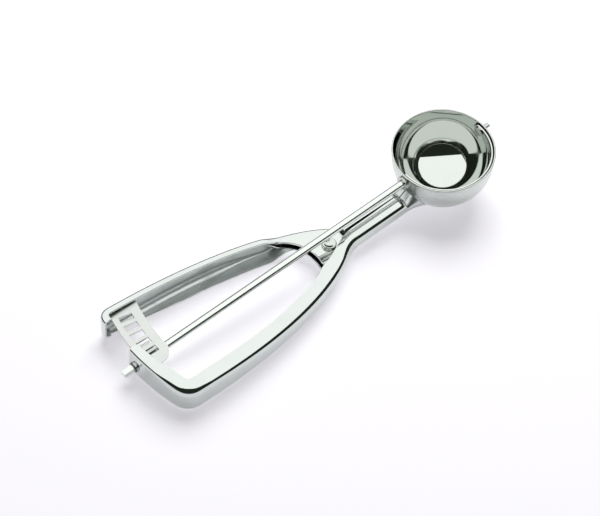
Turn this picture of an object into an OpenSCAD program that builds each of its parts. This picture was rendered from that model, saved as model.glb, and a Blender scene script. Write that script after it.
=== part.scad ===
// Lever ice cream scoop. Lengths are in millimetres, angles in degrees.
// It lies as it is put down: +X runs from the handle to the bowl, +Y to the lever, +Z up.

/* [Bowl] */
// Inside radius of the bowl
bowl_r = 25; // [22:0.5:28]
// Thickness of the bowl's wall
bowl_wall = 0.7; // [0.6:0.1:1]
// Height of the straight collar between the blade's axis and the rim
collar_h = 4.5; // [3:0.5:7]
// Radius of the bead rolled on the rim
bead_r = 0.5; // [0.4:0.1:0.8]

/* [Scraper blade] */
// Width of the blade
blade_w = 8; // [6:0.5:8.5]
// Thickness of the blade
blade_t = 0.6; // [0.4:0.1:0.8]
// Gap between the blade and the bowl
blade_gap = 0.3; // [0.2:0.05:0.4]
// Radius of the pin that carries the blade's far end
blade_pin_r = 1.3; // [1:0.1:1.6]
// How far the blade's pin stands out of the bowl
blade_pin_out = 4.8; // [4:0.1:5.5]

/* [Drive rod] */
// Radius of the drive rod
rod_r = 2; // [1.7:0.1:2.3]
// Distance along the table from the bowl's centre to the handle's end web
rod_span = 191; // [175:0.5:205]
// Height of the drive rod's axis at the end web
rear_axis_h = 8; // [7.5:0.1:8.5]
// Width of the square tail across its flats
tail_w = 2.8; // [2.2:0.1:3]
// Length of the square tail behind the end web
tail_len = 6.5; // [5:0.5:9]

/* [Rack and pinion] */
// Number of teeth on the pinion
pinion_teeth = 6; // [5:1:6]
// Distance between neighbouring windows of the rack, along the pitch line
rack_pitch = 5.5; // [5.4:0.1:5.8]
// Width of the pinion's toothed part
pinion_w = 6; // [4.5:0.5:6.5]
// Number of windows in the rack plate
window_count = 5; // [5:1:6]
// Width of a window across the teeth
window_w = 3.5; // [3.4:0.1:3.8]
// Thickness of the rack plate
rack_t = 1; // [0.8:0.1:1.2]
// Width of the rack plate
rack_w = 14.5; // [13:0.1:15]
// Angle about the pivot between the rod and the last window
rack_lead = 0.5; // [0.4:0.1:1.2]
// Angle about the pivot from the last window to the plate's free end
rack_overrun = 4.2; // [4:0.1:4.6]

/* [Handles] */
// Thickness of the handles' sheet
sheet = 1; // [0.8:0.1:1.2]
// Outside radius of the upper bends along the handles
bend_r = 2; // [1.6:0.1:2.4]
// Outside radius of the lower bends along the handles
sole_r = 4.5; // [3:0.1:4.8]
// Height of the handles at their far end
end_h = 17.7; // [17:0.1:19]
// Height that the handles taper to at the pivot
pivot_h = 10.9; // [10.2:0.1:11.3]
// Distance from the bowl's centre back to the pivot
pivot_back = 73; // [68:0.5:78]
// Widest reach of the fixed handle from the rod
fixed_reach = 32.8; // [30:0.2:36]
// Widest reach of the lever from the rod
lever_reach = 30.2; // [28:0.1:33]
// Width of the fixed handle's flanges
flange_w = 8; // [7:0.1:9]
// Width of the flange on the end web
return_flange_w = 5.2; // [4.6:0.1:6]
// Width of the lever's upper flange
lever_flange_w = 4; // [3.2:0.1:5]
// Width of the lever's lower flange near its end
lever_sole_w = 4.6; // [4.2:0.1:6]
// Width of the lever's lower flange at the middle of the lever
lever_palm_w = 8.3; // [7.4:0.1:9.4]
// Outside radius of the fixed handle's corner
corner_r = 9.5; // [9:0.1:11]
// How far the end web's centre lies from the rod, towards the lever
end_offset = 5; // [0:0.5:5.5]
// Outside radius of the lever's rounded end
lever_end_r = 6; // [4.6:0.1:6.5]
// How far the end web runs past the rod
return_past = 4; // [3.5:0.1:4.5]

/* [Neck] */
// Width of the neck
neck_w = 14.6; // [13:0.2:16]
// Height of the neck
neck_h = 8.5; // [8:0.1:9]
// Depth of the neck's top below the rod's axis
neck_drop = 7; // [6.5:0.1:7.2]
// Width of the open seam along the neck's top
slot_w = 1.4; // [1:0.1:2.4]
// Outside radius of the bends along the neck's top
neck_r = 4; // [3:0.1:4.4]

/* [Pivot] */
// Radius of the pivot rivet's shank
rivet_r = 2; // [1.6:0.1:2.2]
// Radius of the pivot rivet's head
rivet_head_r = 3.1; // [2.9:0.1:3.6]
// Height of the pivot rivet's head
rivet_head_h = 1.5; // [1:0.1:2]
// Radius of the lever's eye about the rivet
eye_r = 8.4; // [7.6:0.1:9]
// Wire diameter of the return spring
wire_d = 0.7; // [0.5:0.1:0.7]
// Mean radius of the return spring's coil
coil_r = 4.2; // [3.9:0.1:4.6]
// How far the return spring's legs reach back from the rivet
leg_back = 15; // [13:0.5:17]

/* [Clearances] */
// Radial clearance of a shaft that turns in a hole
running_gap = 0.05; // [0.03:0.01:0.08]
// Gap between flat faces that slide past each other
slide_gap = 0.3; // [0.2:0.05:0.35]
// Thickness of the small washers
washer_t = 0.5; // [0.4:0.1:0.6]

/* [Hidden] */
$fn = 96;

// A cut runs this far past the face that it opens
past = 1;
// Plates lap this far round the sheet that they join
lap = 0.1;
// Gap between pieces that are fixed together
fixed_gap = 0.02;

// Axis of the rod: it rises from the end web to the bowl's centre
bowl_out_r = bowl_r + bowl_wall;
axis_h = bowl_out_r;
tilt = atan((axis_h - rear_axis_h) / rod_span);
rod_len = rod_span / cos(tilt);
function rod_z(x) = axis_h + x * tan(tilt);

// Pivot, pitch radii and the rack's place over the rod
pivot_x = -pivot_back;
end_reach = rod_span - pivot_back;
pitch_r = pinion_teeth * rack_pitch / (2 * PI);
window_len = pinion_w + 1;
rack_inset = 8.8;
rack_r = end_reach - rack_inset;
window_out = 0.8;
window_angle = rack_pitch / rack_r * 180 / PI;
rack_in_r = rack_r - window_out - rack_w / 2;
rack_out_r = rack_in_r + rack_w;
rack_mid_z = rod_z(pivot_x - rack_r) + pitch_r;
plate = sheet + 2 * lap;

// Heights at the pivot, from the neck's top downwards
lip_top_z = rod_z(pivot_x) - neck_drop / cos(tilt);
eye_top_z = lip_top_z - 2 * sheet - slide_gap;
floor_top_z = lip_top_z - neck_h + sheet + 0.4;
thrust_top_z = floor_top_z + washer_t;
sole_eye_z = thrust_top_z + running_gap;
eye_gap_z = sole_eye_z + plate;
eye_gap_h = eye_top_z - plate - eye_gap_z;

// Where the neck begins, where the two handles part, and how wide the neck's lips are
neck_start = pivot_x + 10.5;
crotch_x = pivot_x - 9;
lip_w = (neck_w - slot_w) / 2;

// Footprint, whose centre is the origin
tail_end_x = -(rod_len + tail_len) * cos(tilt) - tail_w / 2 * sin(tilt);
front_end_x = (bowl_out_r + blade_pin_out) * cos(tilt) + blade_pin_r * sin(tilt);
footprint = [(tail_end_x + front_end_x) / 2, (lever_reach - fixed_reach) / 2];

module placed() translate([-footprint.x, -footprint.y, 0]) children();
module on_rod() placed() translate([0, 0, axis_h]) rotate([0, -tilt, 0]) children();
module at_pivot(z = 0) placed() translate([pivot_x, 0, z]) children();
// A cylinder along the rod from x0 to x1, and a ring there
module along(x0, x1, r) translate([x0, 0, 0]) rotate([0, 90, 0]) cylinder(r = r, h = x1 - x0);
module ring(x0, x1, r_out, r_in) difference() {
    along(x0, x1, r_out);
    along(x0 - past, x1 + past, r_in);
}
// A washer flat on z = 0
module washer(r_out, r_in, h) difference() {
    cylinder(r = r_out, h = h);
    translate([0, 0, -past]) cylinder(r = r_in, h = h + 2 * past);
}

// ---- Curves and channels ----

// A cubic curve through p[0] and p[3], an arc, and a step that eases from 0 to 1
function bezier(p, n) = [for (i = [0:n]) let (t = i / n, s = 1 - t)
    s * s * s * p[0] + 3 * s * s * t * p[1] + 3 * s * t * t * p[2] + t * t * t * p[3]];
function arc(c, r, a0, a1, n) = [for (i = [0:n]) let (a = a0 + (a1 - a0) * i / n)
    c + r * [cos(a), sin(a)]];
function ease(x, x0, x1) = let (t = max(0, min(1, (x - x0) / (x1 - x0)))) t * t * (3 - 2 * t);
function heading(path, i) =
    let (d = path[min(i + 1, len(path) - 1)] - path[max(i - 1, 0)]) d / norm(d);
function left(h) = [-h.y, h.x];
// The same path, moved w to the left of its heading
function beside(path, w) = [for (i = [0:len(path) - 1]) path[i] + w * left(heading(path, i))];

// A flange reaches at least this far past its bend
bend_land = 0.4;

// Section of a C channel as [distance in from the web, height]: inside of the bends, then outside
bend_steps = 4;
function bend(u, z, r, a0, a1) = arc([u, z], r, a0, a1, bend_steps);
function c_section(top, bottom, top_w, bottom_w, top_r, low_r) = concat(
    [[top_w, top - sheet]],
    bend(top_r, top - top_r, top_r - sheet, 90, 180),
    bend(low_r, bottom + low_r, low_r - sheet, 180, 270),
    [[bottom_w, bottom + sheet], [bottom_w, bottom]],
    bend(low_r, bottom + low_r, low_r, 270, 180),
    bend(top_r, top - top_r, top_r, 180, 90),
    [[top_w, top]]
);

// A solid through rings of points, each with as many points as the first. A ring goes out along one
// side of its section and back along the other, so each cap is a row of quads between the two.
module skin(rings) {
    m = len(rings[0]);
    last = (len(rings) - 1) * m;
    sides = [for (i = [0:m:last - m], j = [0:m - 1]) let (k = (j + 1) % m)
        [i + j, i + k, i + m + k, i + m + j]];
    first_cap = [for (j = [0:m / 2 - 2]) [m - 1 - j, m - 2 - j, j + 1, j]];
    last_cap = [for (q = first_cap) [last + q[3], last + q[2], last + q[1], last + q[0]]];
    split = [for (q = concat(sides, first_cap, last_cap)) each [[q[0], q[1], q[2]], [q[0], q[2], q[3]]]];
    polyhedron(points = [for (r = rings) each r], faces = split, convexity = 10);
}

// A ring of points at path[i]: the section stands on the web and reaches inwards
function standing(path, i, inward, section) =
    [for (q = section) [path[i].x + q[0] * inward.x, path[i].y + q[0] * inward.y, q[1]]];

// ---- Fixed handle ----

// End web about the pivot, round corner, long curve, and the bend into the neck
end_c = [pivot_x, end_offset];
end_r = norm([end_reach, end_offset]);
web_end_a = 180 - asin((return_past - end_offset) / end_r);
corner_a = 180 + asin((end_offset + fixed_reach - corner_r) / (end_r - corner_r));
corner_c = end_c + (end_r - corner_r) * [cos(corner_a), sin(corner_a)];
corner_step = 10;
neck_side = neck_w / 2 - lap;
neck_bend = [pivot_x + 7, -neck_side - 2];
fixed_grip = -rod_span + 15;
fixed_pull = pivot_x - 26.5;
neck_swing = [-8, -4.2];
fixed_path = concat(
    arc(end_c, end_r, web_end_a, corner_a, 6),
    arc(corner_c, corner_r, corner_a + corner_step, 270, 6),
    bezier([[fixed_grip, -fixed_reach], [fixed_pull, -fixed_reach], neck_bend + neck_swing, neck_bend], 24),
    bezier([neck_bend + [1, 0.5], neck_bend + [2.5, 1.3],
            [neck_start, -neck_side], [neck_start + 3, -neck_side]], 4)
);

// Heights along both handles: a straight taper, and along the neck the rod's own slope
function taper_z(x) = end_h + (pivot_h - end_h) * (x + rod_span) / end_reach;
function neck_top(x) = rod_z(x) - neck_drop / cos(tilt);
function fixed_top(x) =
    let (a = taper_z(x), b = neck_top(x)) (a + b + sqrt((a - b) * (a - b) + 0.3)) / 2;
function fixed_bottom(x) =
    let (floor_z = floor_top_z - sheet - lap, neck_z = neck_top(x) - neck_h / cos(tilt))
    floor_z * ease(x, pivot_x - 12, pivot_x - 2)
    + (neck_z - floor_z) * ease(x, pivot_x + 4, neck_start);
function fixed_flange(x) = lookup(x, [
    [-rod_span, return_flange_w], [-rod_span + 1, return_flange_w + 1.2],
    [-rod_span + 2.4, return_flange_w + 1.8], [-rod_span + corner_r, corner_r - 2],
    [-rod_span + 1.6 * corner_r, corner_r - 1.5], [-rod_span + 2.5 * corner_r, flange_w],
    [crotch_x - 7, flange_w], [crotch_x, flange_w + 0.9], [crotch_x + 7, lip_w + 1.2],
    [neck_start - 2, lip_w - lap]
]);

// The lower flange is narrower at the pivot, where the thrust washer lies beside it
pivot_relief = 1.8;
function fixed_sole(x) = min(fixed_flange(x), flange_w) - pivot_relief * ease(x, crotch_x, pivot_x + 4);

// Into the neck its upper bend grows rounder and its lower bend sharper
function fixed_fold(x) = bend_r + (neck_r - bend_r) * ease(x, pivot_x - 1, neck_start - 3);
function fixed_low_fold(x) = let (r = min(sole_r, fixed_sole(x) - bend_land))
    r + (bend_r - r) * ease(x, crotch_x - 4, neck_start);

// The neck: a box open along its top, from the pivot to the bowl
neck_x0 = (neck_start - (neck_drop + neck_h / 2) * sin(tilt)) / cos(tilt);
neck_x1 = -bowl_r + 8;
lip_end = -bowl_out_r - 2.8;
flare_x = -bowl_out_r - 0.8;
flare_r = 14;
flare_l = 6.4;
flare_top = 3;
lip_corner_r = 1.8;
module round_box(w, h, top_r, low_r) {
    translate([top_r - w / 2, h / 2 - top_r]) square([w - 2 * top_r, top_r]);
    translate([-w / 2, low_r - h / 2]) square([w, h - top_r - low_r]);
    translate([low_r - w / 2, -h / 2]) square([w - 2 * low_r, low_r]);
    for (y = [-1, 1]) {
        translate([y * (w / 2 - top_r), h / 2 - top_r]) circle(r = top_r);
        translate([y * (w / 2 - low_r), low_r - h / 2]) circle(r = low_r);
    }
}
module neck_section() difference() {
    round_box(neck_w, neck_h + 2 * lap, neck_r, bend_r);
    round_box(neck_w - 2 * plate, neck_h + 2 * lap - 2 * plate, neck_r - sheet, bend_r - sheet);
    translate([0, neck_h / 2]) square([slot_w, 2 * plate + past], center = true);
}
// The wall spreads into the bowl's side through a hollow curve
module neck_flare() translate([flare_x, neck_w / 2 - plate, 0]) linear_extrude(neck_h - flare_top)
    difference() {
        square([flare_l, flare_l / 2]);
        translate([0, flare_r + plate]) circle(r = flare_r);
    }
// The lips stop short of the bowl, with their inner corners rounded
module lip_cut() {
    translate([lip_end, plate - neck_w / 2]) square([bowl_r, neck_w - 2 * plate]);
    for (side = [0, 1]) mirror([0, side]) translate([lip_end - lip_corner_r, slot_w / 2]) difference() {
        translate([0, -past]) square([lip_corner_r + past, lip_corner_r + past]);
        translate([0, lip_corner_r]) circle(r = lip_corner_r);
    }
}
module neck() {
    mid_z = -neck_drop - neck_h / 2;
    difference() {
        union() {
            translate([neck_x0, 0, mid_z]) rotate([90, 0, 90]) linear_extrude(neck_x1 - neck_x0)
                neck_section();
            for (side = [0, 1]) mirror([0, side, 0]) translate([0, 0, mid_z - neck_h / 2]) neck_flare();
        }
        translate([0, 0, -neck_drop - neck_r]) linear_extrude(neck_r + past) lip_cut();
    }
}
// The floor that carries the rivet, from the fixed web to the neck
floor_end = neck_start + 2;
module pivot_floor() {
    web = [for (p = beside(fixed_path, sole_r)) if (p.x > crotch_x && p.x < floor_end - 1) p];
    side = neck_w / 2 - plate;
    polygon(concat(web, [[floor_end, -side], [floor_end, side], [neck_start, side],
                         [pivot_x, eye_r], [crotch_x, 0]]));
    translate([pivot_x, 0]) circle(r = eye_r);
}

bush_r = rod_r + 0.8;

module fixed_handle() color("gainsboro") difference() {
    union() {
        placed() skin([for (i = [0:len(fixed_path) - 1])
            let (x = fixed_path[i].x, w = fixed_flange(x))
            standing(fixed_path, i, left(heading(fixed_path, i)),
                     c_section(fixed_top(x), fixed_bottom(x), w, fixed_sole(x),
                               fixed_fold(x), fixed_low_fold(x)))]);
        placed() translate([0, 0, floor_top_z - plate]) linear_extrude(plate) pivot_floor();
        on_rod() neck();
    }
    on_rod() sphere(r = bowl_out_r + fixed_gap);
    on_rod() along(-rod_len - 2, -rod_len + 3, bush_r + fixed_gap);
    at_pivot(floor_top_z - plate - past) cylinder(r = rivet_r + fixed_gap, h = plate + 2 * past);
}

// ---- Lever ----

// Rounded end, and one long curve to the eye
lever_end_x = -rod_span - 0.4;
lever_end_c = [lever_end_x + lever_end_r, lever_reach - lever_end_r];
lever_grip = -rod_span + 13;
lever_pull = -rod_span + 35;
lever_swing = [pivot_x - 20.6, lever_reach - 2];
lever_tip = [pivot_x + 8, neck_w / 2 + 0.7];
lever_path = concat(
    arc(lever_end_c, lever_end_r, 180, 90, 8),
    bezier([[lever_grip, lever_reach], [lever_pull, lever_reach], lever_swing, lever_tip], 26)
);
lever_mid = (lever_grip + pivot_x) / 2;
function lever_top(x) =
    taper_z(x) + (eye_top_z - lap - taper_z(x)) * ease(x, pivot_x - 27, pivot_x - 15);
lever_end_rise = 3.5;
sole_root = pivot_x - 24;
function lever_bottom(x) = lever_end_rise * (1 - ease(x, lever_end_x, lever_end_x + 7))
    + (sole_eye_z + lap) * ease(x, sole_root, pivot_x - 12);
function lever_sole(x) = lookup(x, [
    [lever_end_c.x, lever_sole_w - 0.4], [-rod_span + 8, lever_sole_w], [lever_mid - 22, lever_palm_w - 0.3],
    [lever_mid, lever_palm_w], [lever_mid + 12, lever_palm_w], [sole_root, lever_palm_w - 0.2]
]);
function lever_low_fold(x) = let (r = min(sole_r, lever_sole(x) - bend_land))
    r + (bend_r - r) * ease(x, lever_mid, sole_root);

// The eye: two plates that fill the lever's end and turn about the rivet. Their back edges are
// hollow, and the lower one reaches further back.
eye_nose = [9, 2.4];
eye_chin = [2, -eye_r];
eye_heel = [-eye_r - 2.1, 0.5 - eye_r];
eye_back = 23;
eye_back_y = lever_swing.y - 12.2;
crotch_hollow_r = 19.6;
crotch_hollow_y = -1.4;
sole_further = 1.2;
module eye_outline(further) {
    web = [for (p = beside(lever_path, -sheet / 2)) if (p.x > pivot_x - eye_back) p - [pivot_x, 0]];
    translate([pivot_x, 0]) {
        difference() {
            polygon(concat(web, [eye_nose, [eye_nose.x, -eye_nose.y], eye_chin, eye_heel - [further, 0],
                                 [eye_heel.x - 0.5 - further, 0], [-eye_back, eye_back_y]]));
            translate([crotch_x - pivot_x - crotch_hollow_r - further, crotch_hollow_y])
                circle(r = crotch_hollow_r);
        }
        circle(r = eye_r - 0.6);
    }
}
module lever_handle() color("gainsboro") difference() {
    union() {
        placed() skin([for (i = [len(lever_path) - 1:-1:0])
            let (x = lever_path[i].x)
            standing(lever_path, i, -left(heading(lever_path, i)),
                     c_section(lever_top(x), lever_bottom(x), lever_flange_w, lever_sole(x),
                               bend_r, lever_low_fold(x)))]);
        placed() translate([0, 0, sole_eye_z]) linear_extrude(plate) eye_outline(sole_further);
        placed() translate([0, 0, eye_top_z - plate]) linear_extrude(plate) eye_outline(0);
    }
    at_pivot(sole_eye_z - past) cylinder(r = rivet_r + running_gap, h = 8);
}

// ---- Rack plate ----

// The part of a ring between two angles, measured about the pivot from the rod towards the lever
module sector(r0, r1, a0, a1) intersection() {
    difference() {
        circle(r = r1);
        circle(r = r0);
    }
    polygon([[0, 0], 2 * r1 * [-cos(a0), sin(a0)], 2 * r1 * [-cos(a1), sin(a1)]]);
}
rack_round_a = rack_w / 2 / rack_r * 180 / PI;
rack_mid_r = rack_in_r + rack_w / 2;
rack_end_a = rack_round_a - rack_lead - rack_overrun;
web_in_y = lever_reach - sheet - fixed_gap;
lever_web_in = beside(lever_path, -sheet - fixed_gap);
module rack_outline() difference() {
    intersection() {
        union() {
            sector(rack_in_r, rack_out_r, rack_end_a, 20);
            rotate(-rack_end_a) translate([-rack_mid_r, 0]) circle(r = rack_w / 2);
        }
        polygon(concat(
            [[-2 * rack_r, web_in_y], [-2 * rack_r, -rack_r], [0, -rack_r]],
            [for (i = [len(lever_path) - 1:-1:0]) let (p = lever_web_in[i])
                if (p.x > lever_end_c.x + 1) p - [pivot_x, 0]]
        ));
    }
    for (i = [0:window_count - 1]) rotate(rack_lead - i * window_angle) translate([-rack_r, 0])
        square([window_len, window_w], center = true);
}
// The flange turned down at the lever's web, where the plate is welded
tab_h = 6.5;
tab_l = 8;
module rack_plate() color("silver") at_pivot(rack_mid_z - rack_t / 2) {
    linear_extrude(rack_t) rack_outline();
    translate([-rack_mid_r - tab_l / 2, web_in_y - rack_t, rack_t - tab_h]) cube([tab_l, rack_t, tab_h]);
}

// ---- Drive rod and what turns with it ----

// Stations along the rod, from the end web inwards
web_slant = (bush_r + 1.2) * tan(tilt) + 0.1;
bush_flange_x = -rod_len + sheet + web_slant;
bush_flange_t = 0.6;
hub_x = bush_flange_x + bush_flange_t + washer_t + 2 * running_gap;
pinion_x = (pivot_x - rack_r + pitch_r * sin(tilt)) / cos(tilt);
pinion_pin_r = 0.75;
pinion_pin_x = (hub_x + pinion_x - pinion_w / 2) / 2;
tip_r = pitch_r + 1.4;
root_r = pitch_r - 1.8;
hub_r = rod_r + 1.5;
tooth_w = 1.8;
spigot_r = rod_r - 0.5;
blade_out_r = bowl_r - blade_gap;
blade_in_r = blade_out_r - blade_t;
lug_washer_r = 2.6;
lug_face_x = sqrt(blade_in_r * blade_in_r - lug_washer_r * lug_washer_r) - fixed_gap;
clip_x = -rod_len - web_slant - 0.1;
shoulder_x = clip_x - washer_t - 0.2;
spigot_x = -blade_out_r - 0.15;

module drive_rod() color("silver") on_rod() difference() {
    union() {
        along(shoulder_x, spigot_x, rod_r);
        along(spigot_x - past, -lug_face_x + washer_t + 0.4, spigot_r);
        translate([-rod_len - tail_len, -tail_w / 2, -tail_w / 2]) cube([tail_len, tail_w, tail_w]);
    }
    translate([pinion_pin_x, 0, 0]) cylinder(r = pinion_pin_r + fixed_gap, h = 3 * rod_r, center = true);
}

// One tooth fills one window: it is narrower at its tip
module tooth() polygon([[-tooth_w * 0.62, 0], [-tooth_w / 2, pitch_r], [-tooth_w * 0.3, tip_r],
                        [tooth_w * 0.3, tip_r], [tooth_w / 2, pitch_r], [tooth_w * 0.62, 0]]);
module pinion() color("gray") on_rod() difference() {
    union() {
        translate([pinion_x - pinion_w / 2, 0, 0]) rotate([90, 0, 90]) linear_extrude(pinion_w) {
            circle(r = root_r);
            for (i = [0:pinion_teeth - 1])
                rotate((i + rack_lead / window_angle) * 360 / pinion_teeth) tooth();
        }
        along(hub_x, pinion_x, hub_r);
    }
    along(hub_x - past, pinion_x + pinion_w, rod_r + fixed_gap);
    translate([pinion_pin_x, 0, 0]) cylinder(r = pinion_pin_r + fixed_gap, h = 3 * hub_r, center = true);
}
module pinion_pin() color("dimgray") on_rod() translate([pinion_pin_x, 0, 0])
    cylinder(r = pinion_pin_r, h = 2 * hub_r - 0.2, center = true);
module thrust_washer() color("dimgray") on_rod()
    ring(hub_x - running_gap - washer_t, hub_x - running_gap, hub_r, rod_r + running_gap);
module rear_bush() color("darkgray") on_rod() difference() {
    union() {
        along(-rod_len - web_slant, bush_flange_x, bush_r);
        along(bush_flange_x, bush_flange_x + bush_flange_t, bush_r + 1.2);
    }
    along(-rod_len - past, bush_flange_x + past, rod_r + running_gap);
}
// A spring ring, open at one side
module retaining_clip() color("black") on_rod() difference() {
    ring(clip_x - washer_t, clip_x, rod_r + 1, rod_r + fixed_gap);
    translate([clip_x - past, 0, -0.6]) cube([2 * past, 2 * rod_r, 1.2]);
}
// Its flange is hollowed to sit on the round of the bowl and on the collar above
module front_bush() color("darkgray") on_rod() difference() {
    union() {
        along(-bowl_out_r - 1.5, -blade_out_r - 0.2, bush_r);
        difference() {
            along(-bowl_out_r - 1.5, -bowl_r, bush_r + 0.8);
            sphere(r = bowl_out_r + fixed_gap);
            cylinder(r = bowl_out_r + fixed_gap, h = collar_h);
        }
    }
    along(-bowl_out_r - 2, -bowl_r + past, rod_r + running_gap);
}

// ---- Bowl and scraper ----

module bowl() color("lightgray") on_rod() difference() {
    rotate_extrude() {
        intersection() {
            difference() {
                circle(r = bowl_out_r);
                circle(r = bowl_r);
            }
            translate([0, -bowl_out_r]) square([bowl_out_r, bowl_out_r]);
        }
        translate([bowl_r, 0]) square([bowl_wall, collar_h]);
        translate([bowl_r + bead_r, collar_h]) circle(r = bead_r);
    }
    along(-bowl_out_r - past, -bowl_r + past, bush_r + fixed_gap);
    along(bowl_r - past, bowl_out_r + past, blade_pin_r + running_gap);
}
// Half a turn of strip from pole to pole, with a round lug at each
module scraper_blade() color("silver") on_rod() difference() {
    intersection() {
        difference() {
            sphere(r = blade_out_r);
            sphere(r = blade_in_r);
        }
        union() {
            translate([-bowl_r, -bowl_r, -blade_w / 2]) cube([2 * bowl_r, bowl_r, blade_w]);
            along(-bowl_r, bowl_r, blade_w / 2);
        }
    }
    along(-bowl_r, 0, spigot_r + fixed_gap);
    along(0, bowl_r, blade_pin_r + fixed_gap);
}
module rod_end_washer() color("silver") on_rod()
    ring(-lug_face_x, -lug_face_x + washer_t, lug_washer_r, spigot_r + fixed_gap);
module blade_pin() color("silver") on_rod() difference() {
    union() {
        along(lug_face_x - washer_t, lug_face_x, lug_washer_r);
        along(lug_face_x - washer_t, bowl_out_r + blade_pin_out, blade_pin_r);
    }
    along(bowl_out_r + blade_pin_out - 0.6, bowl_out_r + blade_pin_out + past, 0.5);
}
module blade_pin_washer() color("silver") on_rod()
    ring(bowl_out_r + running_gap, bowl_out_r + running_gap + washer_t, blade_pin_r + 1,
         blade_pin_r + fixed_gap);

// ---- Pivot ----

floor_bottom_z = floor_top_z - plate;
tail_washer_z = floor_bottom_z - fixed_gap - washer_t;
rivet_tail_h = 0.8;
head_z = eye_top_z + running_gap;
head_round = 0.6;
module pivot_rivet() color("silver") {
    at_pivot(tail_washer_z - rivet_tail_h) cylinder(r = rivet_r, h = head_z - tail_washer_z + rivet_tail_h);
    at_pivot(tail_washer_z - rivet_tail_h) cylinder(r = rivet_r + 0.8, h = rivet_tail_h - fixed_gap);
    at_pivot(head_z) difference() {
        rotate_extrude() {
            square([rivet_head_r - head_round, rivet_head_h]);
            square([rivet_head_r, rivet_head_h - head_round]);
            translate([rivet_head_r - head_round, rivet_head_h - head_round]) circle(r = head_round);
        }
        translate([0, 0, rivet_head_h + rivet_head_r - 0.5]) sphere(r = rivet_head_r);
    }
}
module pivot_tail_washer() color("silver") at_pivot(tail_washer_z)
    washer(rivet_head_r + 1, rivet_r + fixed_gap, washer_t);
module pivot_thrust_washer() color("darkgray") at_pivot(floor_top_z + fixed_gap)
    washer(eye_r - 2, rivet_r + fixed_gap, washer_t - fixed_gap);
module pivot_sleeve() color("dimgray") at_pivot(eye_gap_z + running_gap)
    washer(coil_r - wire_d / 2 - slide_gap, rivet_r + fixed_gap, eye_gap_h - 2 * running_gap);

// A torsion spring: each leg leaves the coil at a tangent and bears on one handle's web
wire_r = wire_d / 2;
web_clear = 1.2 * (sheet + wire_r) + 0.2;
function web_y(path) = lookup(pivot_x - leg_back, [for (p = path) if (p.x > pivot_x - 2 * leg_back) p]);
lever_leg = [-leg_back, web_y(lever_path) - web_clear];
fixed_leg = [-leg_back, web_y(fixed_path) + web_clear];
function leg_turn(leg) = acos(coil_r / norm(leg));
coil_a0 = atan2(fixed_leg.y, fixed_leg.x) + leg_turn(fixed_leg);
coil_a1 = atan2(lever_leg.y, lever_leg.x) - leg_turn(lever_leg) + 360;
coil_steps = 40;
coil_z0 = eye_gap_z + wire_r + 0.1;
coil_rise = eye_gap_h - wire_d - 0.2;
spring_path = concat(
    [[fixed_leg.x, fixed_leg.y, coil_z0]],
    [for (i = [0:coil_steps]) let (a = coil_a0 + (coil_a1 - coil_a0) * i / coil_steps)
        [coil_r * cos(a), coil_r * sin(a), coil_z0 + coil_rise * i / coil_steps]],
    [[lever_leg.x, lever_leg.y, coil_z0 + coil_rise]]
);
function unit(v) = v / norm(v);
function tube_ring(path, i, r, n) =
    let (t = unit(path[min(i + 1, len(path) - 1)] - path[max(i - 1, 0)]),
         side = unit(cross(t, [0, 0, 1])), up = cross(side, t))
    [for (j = [0:n - 1]) let (a = 360 * j / n) path[i] + r * (cos(a) * side + sin(a) * up)];
module return_spring() color("dimgray") at_pivot()
    skin([for (i = [0:len(spring_path) - 1]) tube_ring(spring_path, i, wire_r, 8)]);

bowl();
fixed_handle();
lever_handle();
rack_plate();
drive_rod();
pinion();
pinion_pin();
thrust_washer();
rear_bush();
retaining_clip();
front_bush();
scraper_blade();
blade_pin();
blade_pin_washer();
rod_end_washer();
pivot_rivet();
pivot_tail_washer();
pivot_thrust_washer();
pivot_sleeve();
return_spring();
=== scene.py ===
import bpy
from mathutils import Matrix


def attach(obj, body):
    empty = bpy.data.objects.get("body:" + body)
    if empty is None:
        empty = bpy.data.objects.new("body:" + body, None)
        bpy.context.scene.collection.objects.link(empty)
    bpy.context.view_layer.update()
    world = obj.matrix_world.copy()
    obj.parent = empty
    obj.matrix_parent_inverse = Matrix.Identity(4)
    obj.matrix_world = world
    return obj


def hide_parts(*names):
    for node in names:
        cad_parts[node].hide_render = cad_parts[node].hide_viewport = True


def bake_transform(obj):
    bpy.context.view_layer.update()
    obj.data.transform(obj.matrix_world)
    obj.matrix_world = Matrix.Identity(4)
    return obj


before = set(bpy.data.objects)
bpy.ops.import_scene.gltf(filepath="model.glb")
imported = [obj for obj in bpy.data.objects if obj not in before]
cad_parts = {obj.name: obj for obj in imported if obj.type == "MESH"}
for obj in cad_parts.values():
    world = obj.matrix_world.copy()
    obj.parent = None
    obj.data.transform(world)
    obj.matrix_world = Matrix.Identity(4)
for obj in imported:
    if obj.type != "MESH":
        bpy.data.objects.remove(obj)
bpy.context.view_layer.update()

import math
import bmesh
import bpy
import numpy as np
from mathutils import Matrix, Vector

# ---- Bowl ----
# A half ball of thin stainless sheet, drawn in a press with a short straight collar, its rim rolled
# into a bead. Its inside is polished, its outside is brushed to a satin grey, and two holes are pierced
# on the line of the drive rod.

MM = 0.001
origin_shift = Vector((83.5558, 1.3, 0.0))
bowl_radius = 25.0
bowl_wall = 0.7
collar_height = 4.5
bead_radius = 0.5
axis_height = bowl_radius + bowl_wall
rod_rear_height = 8.0
rod_span = 191.0
rod_tilt = math.atan((axis_height - rod_rear_height) / rod_span)
sharp_from = 35
merge_within = 1e-7


def in_row_frame(point):
    """A point in millimetres from under the bowl's centre, as metres in the row frame."""
    return (Vector(point) + origin_shift) * MM


def from_rod(point):
    """A point measured along the tilted rod, with its zero at the bowl's centre."""
    x, y, z = point
    c, s = math.cos(rod_tilt), math.sin(rod_tilt)
    return Vector((x * c - z * s, y, axis_height + x * s + z * c))


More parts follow.
